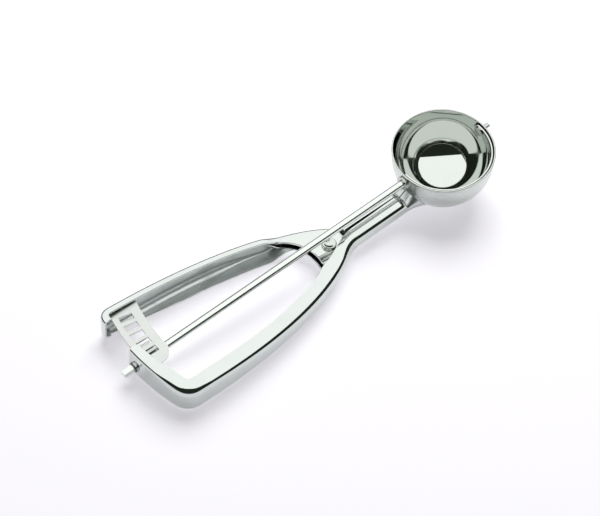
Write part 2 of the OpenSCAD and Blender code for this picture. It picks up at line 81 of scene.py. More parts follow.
def solid(name, points, faces, body, node, material, satin=(), satin_material=None):
    """A piece from points in millimetres, smooth but for its sharp edges. The faces numbered in satin
    have the second material."""
    mesh = bpy.data.meshes.new(name)
    mesh.from_pydata([in_row_frame(p) for p in points], [], faces)
    mesh.materials.append(material)
    if satin_material:
        mesh.materials.append(satin_material)
        for index in satin:
            mesh.polygons[index].material_index = 1
    work = bmesh.new()
    work.from_mesh(mesh)
    bmesh.ops.remove_doubles(work, verts=work.verts, dist=merge_within)
    bmesh.ops.recalc_face_normals(work, faces=work.faces)
    work.to_mesh(mesh)
    work.free()
    mesh.validate()
    mesh.shade_smooth()
    mesh.set_sharp_from_angle(angle=math.radians(sharp_from))
    piece = bpy.data.objects.new(name, mesh)
    bpy.context.scene.collection.objects.link(piece)
    if body:
        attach(piece, body)
        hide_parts(node)
    return piece


def loops_to_faces(count, around, closed_along=False):
    """Quads between neighbouring rings of points."""
    faces = []
    for i in range(count if closed_along else count - 1):
        for j in range(around):
            a, b = i * around, (i + 1) % count * around
            k = (j + 1) % around
            faces.append((a + j, a + k, b + k, b + j))
    return faces


def lathe(profile, steps):
    """Rings of a closed profile of (radius, height) about the bowl's own axis, square to the rod."""
    points = []
    for i in range(steps):
        a = 2 * math.pi * i / steps
        points += [from_rod((r * math.cos(a), r * math.sin(a), z)) for r, z in profile]
    return points, loops_to_faces(steps, len(profile), closed_along=True)


def group_of(name, inputs, outputs):
    """An empty shader group with those named sockets."""
    tree = bpy.data.node_groups.new(name, "ShaderNodeTree")
    for label, kind, value in inputs:
        socket = tree.interface.new_socket(label, in_out="INPUT", socket_type=kind)
        socket.default_value = value
    for label, kind in outputs:
        tree.interface.new_socket(label, in_out="OUTPUT", socket_type=kind)
    return tree, tree.nodes.new("NodeGroupInput"), tree.nodes.new("NodeGroupOutput")


def node(tree, kind, links=(), **values):
    """A node with its sockets filled from values, where an underscore stands for a space, and joined to
    other sockets."""
    made = tree.nodes.new(kind)
    for key, value in values.items():
        if hasattr(made, key):
            setattr(made, key, value)
        else:
            made.inputs[key.replace("_", " ")].default_value = value
    for index, source in links:
        tree.links.new(source, made.inputs[index])
    return made


# Polishing grain: long fine scratches along one direction, as a height and as a mask
patch_fineness = 0.13
grain, grain_in, grain_out = group_of(
    "polishing_grain",
    [("Stretch", "NodeSocketVector", (1, 1, 1)), ("Fineness", "NodeSocketFloat", 900.0)],
    [("Height", "NodeSocketFloat"), ("Mask", "NodeSocketFloat")])
place = node(grain, "ShaderNodeTexCoord")
stretched = node(grain, "ShaderNodeVectorMath", operation="MULTIPLY",
                 links=[(0, place.outputs["Object"]), (1, grain_in.outputs["Stretch"])])
streaks = node(grain, "ShaderNodeTexNoise", Detail=4.0, Roughness=0.6,
               links=[("Vector", stretched.outputs[0]), ("Scale", grain_in.outputs["Fineness"])])
coarse = node(grain, "ShaderNodeMath", operation="MULTIPLY",
              links=[(0, grain_in.outputs["Fineness"])])
coarse.inputs[1].default_value = patch_fineness
patches = node(grain, "ShaderNodeTexNoise", Detail=3.0,
               links=[("Vector", stretched.outputs[0]), ("Scale", coarse.outputs[0])])
grain.links.new(streaks.outputs["Fac"], grain_out.inputs["Height"])
grain.links.new(patches.outputs["Fac"], grain_out.inputs["Mask"])

# Handling marks: faint cloudy smudges
marks, marks_in, marks_out = group_of(
    "handling_marks",
    [("Size", "NodeSocketFloat", 60.0), ("Amount", "NodeSocketFloat", 0.5)],
    [("Mask", "NodeSocketFloat")])
place = node(marks, "ShaderNodeTexCoord")
cloud = node(marks, "ShaderNodeTexNoise", Detail=5.0, Distortion=0.6,
             links=[("Vector", place.outputs["Object"]), ("Scale", marks_in.outputs["Size"])])
patch = node(marks, "ShaderNodeMapRange", From_Min=0.48, From_Max=0.72,
             links=[("Value", cloud.outputs["Fac"])])
shown = node(marks, "ShaderNodeMath", operation="MULTIPLY",
             links=[(0, patch.outputs[0]), (1, marks_in.outputs["Amount"])])
marks.links.new(shown.outputs[0], marks_out.inputs["Mask"])

# Rubbed edges: bright where the sheet is bent outwards or cut
rubbed_gain = 1.12
rub, rub_in, rub_out = group_of(
    "rubbed_edges", [("Amount", "NodeSocketFloat", 0.5)], [("Mask", "NodeSocketFloat")])
shape = node(rub, "ShaderNodeNewGeometry")
edge = node(rub, "ShaderNodeMapRange", From_Min=0.52, From_Max=0.62,
            links=[("Value", shape.outputs["Pointiness"])])
edge_amount = node(rub, "ShaderNodeMath", operation="MULTIPLY",
                   links=[(0, edge.outputs[0]), (1, rub_in.outputs["Amount"])])
rub.links.new(edge_amount.outputs[0], rub_out.inputs["Mask"])


def steel(name, colour, dull_colour, smooth, rough, stretch=(1, 1, 1), fineness=900.0,
          grain_depth=0.00001, mark_size=60.0, mark_amount=0.5):
    """Bare steel: grain in its roughness and relief, smudges in its colour, rubbed edges. Sockets 6 and
    7 of a Mix node are its two colours, and its output 2 is the colour between them."""
    material = bpy.data.materials.new(name)
    material.use_nodes = True
    tree = material.node_tree
    shader = tree.nodes["Principled BSDF"]
    shader.inputs["Metallic"].default_value = 1.0
    fine = node(tree, "ShaderNodeGroup", node_tree=grain, Stretch=stretch, Fineness=fineness)
    smudge = node(tree, "ShaderNodeGroup", node_tree=marks, Size=mark_size, Amount=mark_amount)
    edges = node(tree, "ShaderNodeGroup", node_tree=rub, Amount=0.5)
    tone = node(tree, "ShaderNodeMix", data_type="RGBA", links=[(0, smudge.outputs["Mask"])])
    tone.inputs[6].default_value = (*colour, 1)
    tone.inputs[7].default_value = (*dull_colour, 1)
    bright = node(tree, "ShaderNodeMix", data_type="RGBA",
                  links=[(0, edges.outputs["Mask"]), (6, tone.outputs[2])])
    bright.inputs[7].default_value = (*[min(1, c * rubbed_gain) for c in colour], 1)
    tree.links.new(bright.outputs[2], shader.inputs["Base Color"])
    sheen = node(tree, "ShaderNodeMath", operation="ADD", use_clamp=True,
                 links=[(0, fine.outputs["Mask"]), (1, smudge.outputs["Mask"])])
    finish = node(tree, "ShaderNodeMapRange", From_Min=0.25, To_Min=smooth, To_Max=rough,
                  links=[("Value", sheen.outputs[0])])
    tree.links.new(finish.outputs[0], shader.inputs["Roughness"])
    relief = node(tree, "ShaderNodeBump", Strength=1.0, Distance=grain_depth,
                  links=[("Height", fine.outputs["Height"])])
    tree.links.new(relief.outputs[0], shader.inputs["Normal"])
    return material


def arc_points(centre, radius, first, last, steps):
    """Points on an arc, its angles in degrees."""
    return [(centre[0] + radius * math.cos(math.radians(first + (last - first) * i / steps)),
             centre[1] + radius * math.sin(math.radians(first + (last - first) * i / steps)))
            for i in range(steps + 1)]


bowl_steel = steel("bowl_polished_steel", (0.64, 0.67, 0.64), (0.60, 0.63, 0.60), 0.03, 0.07,
                   stretch=(1, 1, 4), fineness=700.0, grain_depth=0.000001, mark_amount=0.3)
bowl_satin = steel("bowl_brushed_steel", (0.62, 0.65, 0.62), (0.55, 0.58, 0.55), 0.24, 0.34,
                   stretch=(1, 1, 9), grain_depth=0.000004, mark_amount=0.4)
bottom_angle = -89.9
bead_start = -55
ball_steps = 60
collar_steps = 6
bead_steps = 16
around_steps = 240
outside_steps = ball_steps + collar_steps
bowl_profile = (arc_points((0, 0), axis_height, bottom_angle, 0, ball_steps)
                + [(axis_height, collar_height * k / collar_steps) for k in range(1, collar_steps)]
                + arc_points((bowl_radius + bead_radius, collar_height), bead_radius,
                             bead_start, 180, bead_steps)
                + [(bowl_radius, collar_height * k / collar_steps) for k in range(collar_steps - 1, 0, -1)]
                + arc_points((0, 0), bowl_radius, 0, bottom_angle, ball_steps))
points, faces = lathe(bowl_profile, around_steps)
outside_faces = [i for i in range(len(faces)) if i % len(bowl_profile) < outside_steps]
bowl = solid("bowl_shell", points, faces, "frame", "bowl", bowl_steel,
             satin=outside_faces, satin_material=bowl_satin)


def pierce(piece, holes):
    """Cuts round holes along the rod's line: each is (from, to, radius) in millimetres."""
    cutter_mesh = bpy.data.meshes.new("punch")
    work = bmesh.new()
    for first, last, radius in holes:
        turn_to_rod = Matrix.Rotation(math.pi / 2 - rod_tilt, 4, "Y")
        middle = in_row_frame(from_rod(((first + last) / 2, 0, 0)))
        bmesh.ops.create_cone(work, cap_ends=True, segments=96, radius1=radius * MM, radius2=radius * MM,
                              depth=(last - first) * MM, matrix=Matrix.Translation(middle) @ turn_to_rod)
    work.to_mesh(cutter_mesh)
    work.free()
    punch = bpy.data.objects.new("punch", cutter_mesh)
    bpy.context.scene.collection.objects.link(punch)
    cut = piece.modifiers.new("pierced", "BOOLEAN")
    cut.operation, cut.object, cut.solver = "DIFFERENCE", punch, "EXACT"
    shaped = bpy.data.meshes.new_from_object(piece.evaluated_get(bpy.context.evaluated_depsgraph_get()))
    piece.modifiers.clear()
    shaped.name = piece.data.name + "_pierced"
    piece.data = shaped
    bpy.data.objects.remove(punch)
    bpy.data.meshes.remove(cutter_mesh)


bush_radius = 2.8
pin_radius = 1.3
hole_gap = 0.03
punch_out = 1.0
punch_in = 1.5
pierce(bowl, [(-axis_height - punch_out, -bowl_radius + punch_in, bush_radius + hole_gap),
              (bowl_radius - punch_in, axis_height + punch_out, pin_radius + hole_gap)])

# ---- Front bush, far pin and their washers ----
# Turned steel. The bush is pressed into the bowl's near hole and carries the rod, whose end is peened
# over a washer inside the bowl. A pin with a washer holds the scraper's far end in the other hole.

turned_steel = steel("turned_steel", (0.56, 0.58, 0.56), (0.44, 0.46, 0.44), 0.14, 0.26,
                     stretch=(14, 1, 1), fineness=1500.0, grain_depth=0.000004)
bush_steel = steel("bush_turned_steel", (0.5, 0.52, 0.5), (0.38, 0.4, 0.38), 0.18, 0.32,
                   stretch=(14, 1, 1), fineness=1300.0, grain_depth=0.000004)


def finish_nodes(material, *names):
    """Gives a CAD node its finish."""
    for name in names:
        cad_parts[name].data.materials.clear()
        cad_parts[name].data.materials.append(material)


finish_nodes(turned_steel, "blade_pin", "blade_pin_washer", "rod_end_washer")
finish_nodes(bush_steel, "front_bush")

# ---- Scraper blade ----
# A strip of bright spring steel, bent to half a ring inside the bowl, with a round lug at each end. It
# is stamped, so its edges are square and its face carries the marks of the strip mill.

blade_width = 8.0
blade_thickness = 0.6
blade_gap = 0.3
blade_outside = bowl_radius - blade_gap
blade_steps = 120
lug_steps = 8
half_width_steps = 12

blade_steel = steel("blade_strip_steel", (0.68, 0.70, 0.68), (0.56, 0.58, 0.56), 0.08, 0.2,
                    fineness=420.0, grain_depth=0.000012, mark_size=160.0)


def blade_row(z, radius):
    """Points from lug to lug at one height of the strip, on a ball of that radius."""
    lug = math.sqrt(max(0.0, (blade_width / 2) ** 2 - z * z))
    rise = math.sqrt(radius ** 2 - z * z)
    lug_ys = [lug * (1 - k / lug_steps) for k in range(lug_steps)]
    start = [(-math.sqrt(rise ** 2 - y * y), y, z) for y in lug_ys]
    turns = [math.pi * k / blade_steps for k in range(blade_steps + 1)]
    middle = [(-rise * math.cos(a), -rise * math.sin(a), z) for a in turns]
    return start + middle + [(-x, y, z) for x, y, z in reversed(start)]


def blade_mesh():
    """The strip's outer rows and then its inner rows, closed along its edges and at both ends."""
    heights = [blade_width / 2 * math.sin(math.pi / 2 * k / half_width_steps)
               for k in range(-half_width_steps, half_width_steps + 1)]
    outside = [[from_rod(p) for p in blade_row(z, blade_outside)] for z in heights]
    inside = [[from_rod(p) for p in blade_row(z, blade_outside - blade_thickness)] for z in heights]
    rows = outside + inside[::-1]
    wide = len(rows[0])
    points = [p for row in rows for p in row]
    faces = []
    for i in range(len(rows)):
        for j in range(wide - 1):
            a, b = i * wide + j, (i + 1) % len(rows) * wide + j
            faces.append((a, a + 1, b + 1, b))
    count = len(heights)
    for i in range(count - 1):
        for j, flip in ((0, False), (wide - 1, True)):
            a, b = i * wide + j, (i + 1) * wide + j
            c, d = (2 * count - 2 - i) * wide + j, (2 * count - 1 - i) * wide + j
            faces.append((a, b, c, d) if not flip else (d, c, b, a))
    return points, faces


points, faces = blade_mesh()
solid("scraper_strip", points, faces, "drive", "scraper_blade", blade_steel)

# ---- Fixed handle ----
# One blank of stainless sheet, folded to a channel: end web, round corner, long curved arm, and the
# neck, which is welded to the bowl. It is polished outside, keeps the mill's finish in its hollow, and
# is brushed at the weld.

sheet = 1.0
bend_radius = 2.0
pivot_x = -73.0
end_reach = rod_span + pivot_x
end_offset = 5.0
corner_radius = 9.5
fixed_reach = 32.8
return_past = 4.0
flange_width = 8.0
return_flange_width = 5.2
handle_end_height = 17.7
handle_pivot_height = 10.9
neck_width = 14.6
neck_height = 8.5
neck_drop = 7.0
slot_width = 1.4
neck_fold = 4.6
sole_radius = 4.5
bend_land = 0.4
neck_start = pivot_x + 10.5
crotch_x = pivot_x - 9.0
lip_width = (neck_width - slot_width) / 2
joint_gap = 0.02
path_spacing = 0.8

handle_steel = steel("handle_polished_steel", (0.64, 0.675, 0.65), (0.58, 0.615, 0.59), 0.05, 0.1,
                     stretch=(1, 5, 5), fineness=600.0, grain_depth=0.000002, mark_size=45.0,
                     mark_amount=0.45)
handle_satin = steel("handle_mill_steel", (0.60, 0.63, 0.62), (0.50, 0.53, 0.52), 0.26, 0.42,
                     stretch=(1, 5, 5), fineness=700.0, grain_depth=0.000006, mark_size=90.0,
                     mark_amount=0.7)


def bezier(p0, p1, p2, p3, steps):
    """Points on the curve that leaves p0 towards p1 and comes into p3 from p2."""
    p0, p1, p2, p3 = (np.array(p, float) for p in (p0, p1, p2, p3))
    return [tuple((1 - t) ** 3 * p0 + 3 * (1 - t) ** 2 * t * p1 + 3 * (1 - t) * t * t * p2 + t ** 3 * p3)
            for t in (i / steps for i in range(steps + 1))]


def smoothed(values, passes):
    """Each value pulled to its neighbours' mean, with the ends held."""
    values = np.array(values, float)
    for _ in range(passes):
        values[1:-1] = (values[:-2] + 2 * values[1:-1] + values[2:]) / 4
    return values


def even_path(points, passes):
    """The same line with its points evenly spaced and a little smoothed, and how far along it each
    one lies."""
    line = np.array(points, float)
    run = np.concatenate([[0], np.cumsum(np.hypot(*np.diff(line, axis=0).T))])
    keep = np.concatenate([[True], np.diff(run) > 1e-6])
    line, run = line[keep], run[keep]
    at = np.linspace(0, run[-1], max(2, int(round(run[-1] / path_spacing))) + 1)
    return np.stack([smoothed(np.interp(at, run, line[:, side]), passes) for side in (0, 1)], axis=1), at


def headings(path):
    """Unit vectors along a path."""
    d = np.gradient(path, axis=0)
    return d / np.hypot(d[:, 0], d[:, 1])[:, None]


def ease(x, x0, x1):
    """0 up to x0 and 1 from x1 on, with a soft rise between."""
    t = max(0.0, min(1.0, (x - x0) / (x1 - x0)))
    return t * t * (3 - 2 * t)


def taper_height(x):
    """The height of a handle's upper flange, which falls evenly from its far end to the pivot."""
    return handle_end_height + (handle_pivot_height - handle_end_height) * (x + rod_span) / end_reach


def neck_top(x):
    """The height of the neck's upper face, which rises with the rod."""
    return axis_height + x * math.tan(rod_tilt) - neck_drop / math.cos(rod_tilt)


slide_gap = 0.3
floor_rise = 0.4
plate_cover = 0.1
crossing_round = 0.3
lip_top = neck_top(pivot_x)
eye_top = lip_top - 2 * sheet - slide_gap
floor_top = lip_top - neck_height + sheet + floor_rise
plate = sheet + 2 * plate_cover


def fixed_top(x):
    """The upper flange's height: the higher of the arm's and the neck's, rounded where they cross."""
    a, b = taper_height(x), neck_top(x)
    return (a + b + math.sqrt((a - b) ** 2 + crossing_round)) / 2


def fixed_bottom(x):
    """The lower flange's height: on the ground, up at the pivot's floor, and then along the neck."""
    floor_z = floor_top - sheet - plate_cover
    neck_z = neck_top(x) - neck_height / math.cos(rod_tilt)
    return (floor_z * ease(x, pivot_x - 12, pivot_x - 2)
            + (neck_z - floor_z) * ease(x, pivot_x + 4, neck_start))


edge_break = 0.12
edge_flat = 0.2
bend_lead = 0.15
bend_least = 0.3
bend_steps = 10


def channel_section(top, bottom, top_width, bottom_width, bend_top, bend_bottom):
    """A C section as (distance in from the web, height): down its outside and back up its inside."""
    def side(inset):
        high, low = top - inset, bottom + inset
        t, b = max(bend_top - inset, bend_least), max(bend_bottom - inset, bend_least)
        corner_t, corner_b = (inset + t, high - t), (inset + b, low + b)
        return ([(top_width - edge_break, high), (top_width - edge_break - edge_flat, high),
                 (corner_t[0] + bend_lead, high)]
                + arc_points(corner_t, t, 90, 180, bend_steps)
                + [(inset, corner_t[1] - bend_lead), (inset, corner_b[1] + bend_lead)]
                + arc_points(corner_b, b, 180, 270, bend_steps)
                + [(corner_b[0] + bend_lead, low), (bottom_width - edge_break - edge_flat, low),
                   (bottom_width - edge_break, low)])
    low_edge = [(bottom_width, bottom + edge_break), (bottom_width, bottom + sheet - edge_break)]
    return ([(top_width, top - edge_break)] + side(0.0) + low_edge + side(sheet)[::-1]
            + [(top_width, top - sheet + edge_break)])


def standing(path, inward, sections):
    """A ring of points at each point of a path, its section upright on the web."""
    return [[(p[0] + q[0] * n[0], p[1] + q[0] * n[1], q[1]) for q in section]
            for p, n, section in zip(path, inward, sections)]


def skinned(rings):
    """A closed solid through rings whose two long sides run side by side."""
    around = len(rings[0])
    faces = loops_to_faces(len(rings), around)
    last = (len(rings) - 1) * around
    for j in range(around // 2 - 1):
        k = around - 1 - j
        faces.append((k, k - 1, j + 1, j))
        faces.append((last + j, last + j + 1, last + k - 1, last + k))
    return [p for ring in rings for p in ring], faces


class Parts:
    """Points and faces of several closed shells that make one piece, and which faces aren't polished."""
    def __init__(self):
        self.points, self.faces, self.satin = [], [], []

    def add(self, points, faces, satin=()):
        base, first = len(self.points), len(self.faces)
        self.points += points
        self.faces += [tuple(base + i for i in face) for face in faces]
        self.satin += [first + i for i in satin]


def channel_inside(rings):
    """The faces of a channel's hollow side, which no polishing wheel reaches."""
    around = len(rings[0])
    return [i * around + j for i in range(len(rings) - 1) for j in range(around // 2 + 1, around - 2)]


def flat_plate(outline, bottom, top):
    """A plate of that outline, its edges broken by a small chamfer."""
    line = np.array(outline, float)
    area = sum(a[0] * b[1] - b[0] * a[1] for a, b in zip(line, np.roll(line, -1, axis=0)))
    if area < 0:
        line = line[::-1]
    before, after = np.roll(line, 1, axis=0), np.roll(line, -1, axis=0)
    a, b = line - before, after - line
    a /= np.hypot(a[:, 0], a[:, 1])[:, None]
    b /= np.hypot(b[:, 0], b[:, 1])[:, None]
    normal = np.stack([-(a + b)[:, 1], (a + b)[:, 0]], axis=1)
    normal /= np.hypot(normal[:, 0], normal[:, 1])[:, None]
    inner = line + edge_break * normal
    rings = [(inner, bottom), (line, bottom + edge_break), (line, top - edge_break), (inner, top)]
    points = [(x, y, z) for ring, z in rings for x, y in ring]
    n = len(line)
    faces = loops_to_faces(4, n)
    faces.append(tuple(reversed(range(n))))
    faces.append(tuple(range(3 * n, 4 * n)))
    return points, faces


end_centre = (pivot_x, end_offset)
end_radius = math.hypot(end_reach, end_offset)
web_end_angle = 180 - math.degrees(math.asin((return_past - end_offset) / end_radius))
corner_angle = 180 + math.degrees(math.asin((end_offset + fixed_reach - corner_radius)
                                            / (end_radius - corner_radius)))
corner_centre = (end_centre[0] + (end_radius - corner_radius) * math.cos(math.radians(corner_angle)),
                 end_centre[1] + (end_radius - corner_radius) * math.sin(math.radians(corner_angle)))
neck_side = neck_width / 2
neck_bend = (pivot_x + 7, -neck_side - 1.9)
arm_start = (-rod_span + 15, -fixed_reach)
arm_pull = (pivot_x - 26.5, -fixed_reach)
neck_pull = (neck_bend[0] - 8, neck_bend[1] - 4.2)
neck_lead = (neck_bend[0] + 2, neck_bend[1] + 1.05)
arm_line = (arc_points(end_centre, end_radius, web_end_angle, corner_angle, 60)
            + arc_points(corner_centre, corner_radius, corner_angle, 270, 40)
            + bezier(arm_start, arm_pull, neck_pull, neck_bend, 200)
            + bezier(neck_bend, neck_lead, (neck_start, -neck_side), (neck_start + 3, -neck_side), 30))
arm_path, arm_run = even_path(arm_line, 6)
corner_reach = corner_radius * 0.75
corner_run = arm_run[np.argmin(np.hypot(arm_path[:, 0] - corner_centre[0] + corner_reach,
                                        arm_path[:, 1] - corner_centre[1] + corner_reach))]

# The upper flange's width along the arm, as (x, width): narrow at the end web, and a lip at the neck
flange_widths = [(-rod_span, return_flange_width), (-rod_span + 1, return_flange_width + 1.2),
                 (-rod_span + 2.4, return_flange_width + 1.8), (-rod_span + 9.5, 7.2),
                 (-rod_span + 15, 7.6), (-rod_span + 24, flange_width), (crotch_x - 7, flange_width),
                 (crotch_x, flange_width + 0.9), (crotch_x + 7, lip_width + 1.2),
                 (neck_start - 2, lip_width)]
flange_line = smoothed(np.interp(arm_path[:, 0], *zip(*flange_widths)), 8)
arm_fold = 3.4
corner_fold = 4.9
web_fold = 2.0
corner_half = 4.0
fold_in = 20.0
fold_out = 16.0
pivot_relief = 1.8


def top_fold(x, run):
    """The upper bend's radius: sharp on the end web, widest round the corner, wide at the neck."""
    return (web_fold
            + (corner_fold - web_fold) * ease(run, corner_run - fold_in, corner_run - corner_half)
            + (arm_fold - corner_fold) * ease(run, corner_run + corner_half, corner_run + fold_out)
            + (neck_fold - arm_fold) * ease(x, pivot_x - 1, neck_start - 3))


def low_fold(width, x, x0, x1):
    """The lower bend's radius: it grows sharper from x0 to x1."""
    wide = min(sole_radius, width - bend_land)
    return wide + (bend_radius - wide) * ease(x, x0, x1)


def arm_sole(x, width):
    """The lower flange's width: narrower at the pivot, where the thrust washer lies beside it."""
    at_pivot = ease(x, crotch_x, pivot_x + 4)
    past_pivot = ease(x, neck_start - 2.5, neck_start + 1)
    return min(width, flange_width) - pivot_relief * at_pivot * (1 - past_pivot)


arm_sections = [channel_section(fixed_top(x), fixed_bottom(x), wide, arm_sole(x, wide), top_fold(x, run),
                                low_fold(wide, x, crotch_x - 4, neck_start))
                for (x, _), run, wide in zip(arm_path, arm_run, flange_line)]
arm_heading = headings(arm_path)
arm_inward = np.stack([-arm_heading[:, 1], arm_heading[:, 0]], axis=1)
arm_rings = standing(arm_path, arm_inward, arm_sections)

# The neck's two sides run along the rod. Each lip turns down in a round shoulder before the bowl, and
# the wall under it spreads over the bowl's side.
neck_steps = 34
lip_end = -axis_height - 2.8
lip_round = 3.0
flare_start = -axis_height - 3.2
flare_radius = 14.0
shoulder_length = 4.0
shoulder_drop = 3.2
shoulder_steps = 10
shoulder_fold_loss = 0.35
seam_at_pivot = 0.6
seam_at_bowl = 0.15
sole_lap = 0.05
saddle_top = neck_drop + 2.0
saddle_depth = 6.3
saddle_steps = 8
saddle_length = 8.5
saddle_inner = 1.5
saddle_blend = 3.0
saddle_rise = 3.2
rise_loss = 0.55
rise_inner = 1.0
rise_outer = 9.0


def neck_line(x):
    """How far the neck's side stands from its middle: it spreads where it meets the bowl."""
    run = max(0.0, x - flare_start)
    return neck_side + flare_radius - math.sqrt(flare_radius ** 2 - run * run)


def lip_drop(x):
    """How far the lip lies below the neck's top, down the round shoulder."""
    t = max(0.0, min(1.0, (x - lip_end + shoulder_length) / shoulder_length))
    return shoulder_drop * (1 - math.sqrt(1 - t * t))


def lip_corner(inward, z):
    """How far back the lip ends beside its middle: its corner is round, seen from above."""
    beside = max(0.0, min(1.0, (lip_round - inward) / lip_round))
    high = max(0.0, min(1.0, (z + neck_drop + neck_height - bend_radius) / (neck_height - bend_radius)))
    return lip_round * (1 - math.sqrt(1 - beside * beside)) * high


def neck_rings(side, start):
    """One half of the neck, from its start to the bowl's wall."""
    shoulder_start = lip_end - shoulder_length
    stations = list(np.linspace(start, shoulder_start, neck_steps))
    stations += [shoulder_start + shoulder_length * math.sin(math.pi / 2 * k / shoulder_steps)
                 for k in range(1, shoulder_steps + 1)]
    rings = []
    for x in stations:
        seam = seam_at_pivot + (seam_at_bowl - seam_at_pivot) * ease(x, start, lip_end)
        section = channel_section(-neck_drop - lip_drop(x), -neck_drop - neck_height,
                                  neck_side - seam, neck_side + sole_lap,
                                  neck_fold - shoulder_fold_loss * lip_drop(x), bend_radius)
        turned_in = ease(x, shoulder_start, lip_end)
        rings.append([(x - turned_in * lip_corner(u, z), side * (neck_line(x) - u), z) for u, z in section])
    reach = axis_height + joint_gap
    last = rings[-1]
    for k in range(1, saddle_steps + 1):
        t = k / saddle_steps
        spread = neck_line(lip_end + saddle_length * t) - neck_line(lip_end)
        ring = []
        for x, y, z in last:
            low = max(0.0, min(1.0, (-z - saddle_top) / saddle_depth))
            outer = min(1.0, max(0.0, side * y - saddle_inner) / saddle_blend)
            out = side * y + spread * low * outer
            z += saddle_rise * t * (1 - rise_loss * ease(side * y, rise_inner, rise_outer)) * (1 - low)
            edge = -math.sqrt(max(0.0, reach ** 2 - out * out - z * z))
            ring.append((x + (edge - x) * t, side * out, z))
        rings.append(ring)
    return [[tuple(from_rod(p)) for p in ring] for ring in rings]


def saddle_faces(rings):
    """The outside faces from the lip's end to the bowl, brushed after they are welded."""
    around = len(rings[0])
    return [i * around + j for i in range(len(rings) - 1 - saddle_steps, len(rings) - 1)
            for j in range(around // 2 + 1)]


handle_parts = Parts()
arm_step = 1.0
neck_middle = neck_drop + neck_height / 2
near_start = (arm_path[-1][0] + arm_step - neck_middle * math.sin(rod_tilt)) / math.cos(rod_tilt)
far_start = pivot_x + 9.4
for rings in (arm_rings + neck_rings(-1, near_start), neck_rings(1, far_start)):
    handle_parts.add(*skinned(rings), satin=channel_inside(rings) + saddle_faces(rings))

# The floor under the pivot, which carries the rivet
eye_radius = 8.4
floor_side = neck_side - plate
floor_front = neck_start + 2
floor_line = [(p[0] + sole_radius * n[0], p[1] + sole_radius * n[1]) for p, n in zip(arm_path, arm_inward)
              if crotch_x < p[0] < neck_start + 1]
floor_outline = (floor_line + [(floor_front, -floor_side), (floor_front, floor_side),
                               (neck_start - 1, floor_side)]
                 + arc_points((pivot_x, 0), eye_radius, 60, 190, 30))
handle_parts.add(*flat_plate(floor_outline, floor_top - plate, floor_top))
solid("handle_channel", handle_parts.points, handle_parts.faces, "frame",
      "fixed_handle", handle_steel, satin=handle_parts.satin, satin_material=handle_satin)

# ---- Lever ----
# The second channel, folded from the same sheet, slimmer on top than below, with a round far end. Its
# front end is an eye of two plates that turns about the rivet between the fixed handle's floor and lips.

lever_reach = 30.2
lever_rise = 3.5
lever_wrap = 195
lever_end_radius = 6.0
lever_flange_width = 4.0
lever_end_x = -rod_span - 0.4
lever_end_centre = (lever_end_x + lever_end_radius, lever_reach - lever_end_radius)
lever_start = (-rod_span + 13, lever_reach)
lever_pull = (-rod_span + 35, lever_reach)
eye_pull = (pivot_x - 20.6, lever_reach - 2)
lever_front = (pivot_x + 8, neck_side + 0.7)
lever_middle = (lever_start[0] + pivot_x) / 2
lever_line = (arc_points(lever_end_centre, lever_end_radius, lever_wrap, 90, 46)
              + bezier(lever_start, lever_pull, eye_pull, lever_front, 220))
lever_path = even_path(lever_line, 4)[0]
washer_thickness = 0.5
washer_gap = 0.05
sole_eye = floor_top + washer_thickness + washer_gap
flush = 0.02


def lever_top(x):
    """The upper flange's height: it falls as the fixed handle's does, and then to the eye."""
    level = taper_height(x)
    return level + (eye_top - flush - level) * ease(x, pivot_x - 27, pivot_x - 15)


def lever_bottom(x):
    """The lower flange's height: raised at the far end, then on the ground, and up at the eye."""
    return (lever_rise * (1 - ease(x, lever_end_x, lever_end_x + 7))
            + (sole_eye + flush) * ease(x, pivot_x - 24, pivot_x - 12))


# The lower flange's width along the lever, as (x, width)
sole_widths = [(lever_end_centre[0], 4.2), (-rod_span + 8, 4.6), (lever_middle - 22, 8.0),
               (lever_middle, 8.3), (lever_middle + 12, 8.3), (pivot_x - 24, 8.1)]
sole_line = smoothed(np.interp(lever_path[:, 0], *zip(*sole_widths)), 10)
lever_heading = headings(lever_path)
lever_inward = np.stack([lever_heading[:, 1], -lever_heading[:, 0]], axis=1)
lever_sections = [channel_section(lever_top(x), lever_bottom(x), lever_flange_width, wide,
                                  bend_radius, low_fold(wide, x, lever_middle, pivot_x - 24))
                  for (x, _), wide in zip(lever_path, sole_line)]
lever_parts = Parts()
lever_rings = standing(lever_path[::-1], lever_inward[::-1], lever_sections[::-1])
lever_parts.add(*skinned(lever_rings), satin=channel_inside(lever_rings))

tongue_end = (10.2, 1.6)
tongue_radius = 1.9
tongue_centre = (pivot_x + tongue_end[0] - tongue_radius, tongue_end[1])
heel_y = 0.5 - eye_radius
heel_round = 1.2
eye_back = 23.0
hollow_radius = 19.6
hollow_y = -1.4
hollow_turn = (58, -23)
hollow_steps = 27


def eye_outline(further, inset):
    """The eye's plate: its web side, a nose, a round heel and a hollow back edge."""
    web = [(p[0] + inset * n[0], p[1] + inset * n[1]) for p, n in zip(lever_path, lever_inward)
           if p[0] > pivot_x - eye_back]
    hollow_centre = (crotch_x - hollow_radius - further, hollow_y)
    back = [p for p in arc_points(hollow_centre, hollow_radius, *hollow_turn, hollow_steps)
            if p[1] > heel_y + heel_round]
    round_heel = [(back[-1][0] + 0.2, heel_y + 0.7), (back[-1][0] + 0.9, heel_y)]
    chin = arc_points((pivot_x, 0), eye_radius, 262, 312, 12)
    tongue = arc_points(tongue_centre, tongue_radius, 262, 420, 16)
    return back + round_heel + chin + tongue + web[::-1]


lever_parts.add(*flat_plate(eye_outline(further=1.2, inset=0.9), sole_eye, sole_eye + plate))
lever_parts.add(*flat_plate(eye_outline(further=0.0, inset=bend_radius - 0.4), eye_top - plate, eye_top))
solid("lever_channel", lever_parts.points, lever_parts.faces, "lever",
      "lever_handle", handle_steel, satin=lever_parts.satin, satin_material=handle_satin)

